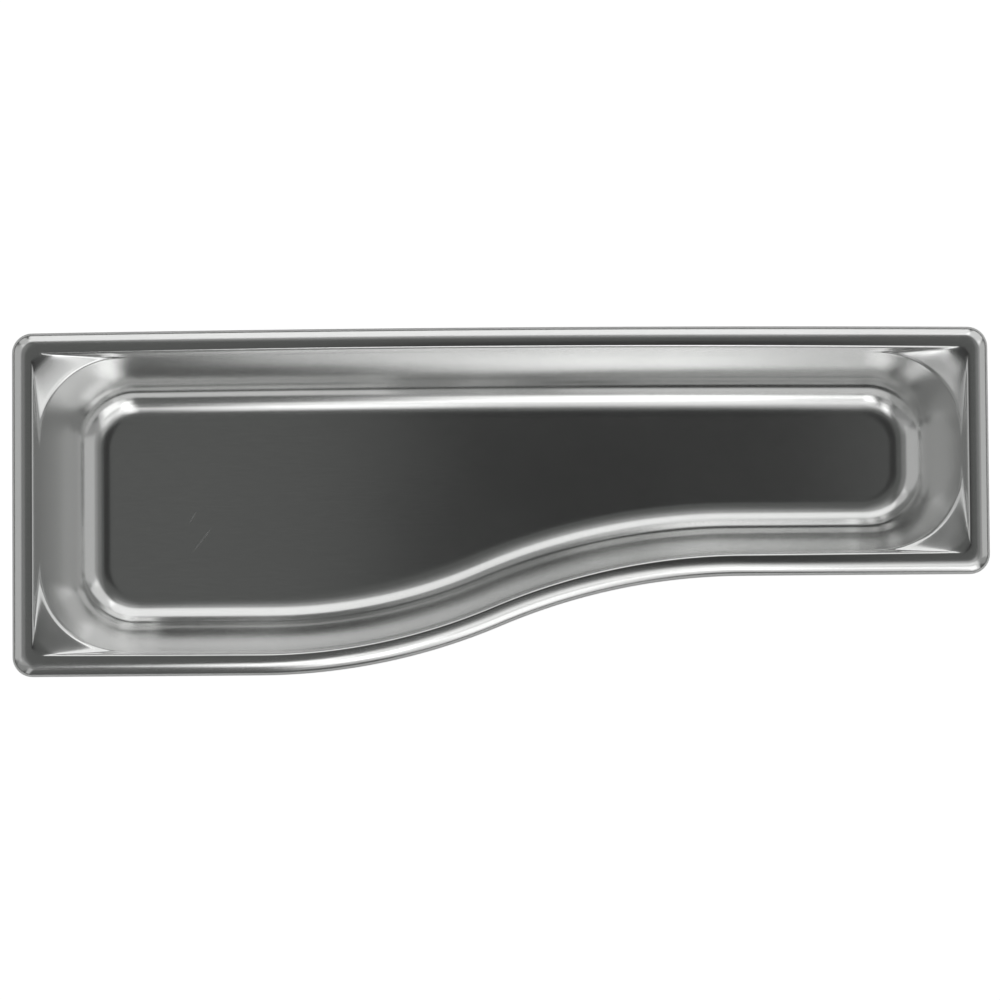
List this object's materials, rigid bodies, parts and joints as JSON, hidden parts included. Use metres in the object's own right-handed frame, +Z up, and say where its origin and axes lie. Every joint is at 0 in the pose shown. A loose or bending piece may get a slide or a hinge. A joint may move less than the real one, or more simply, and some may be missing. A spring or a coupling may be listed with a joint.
{
  "type": "half-size-long food pan with S-curved side",
  "caption": "Shallow drawn stainless steel food pan with a level flange and one S-curved long side; turned end for end, two fill one full-size opening.",
  "frame": {"origin": "under the middle of the pan's outline box, on the surface the floor stands on", "axes": "+X along the length towards the narrow end, +Y towards the straight long side, +Z up out of the open mouth"},
  "size_m": [0.53, 0.188, 0.065],
  "materials": {
    "satin_stainless": "satin polished stainless steel with a fine drawn grain"
  },
  "bodies": {
    "root": {"drawn_pan": "satin_stainless"}
  },
  "joints": []
}
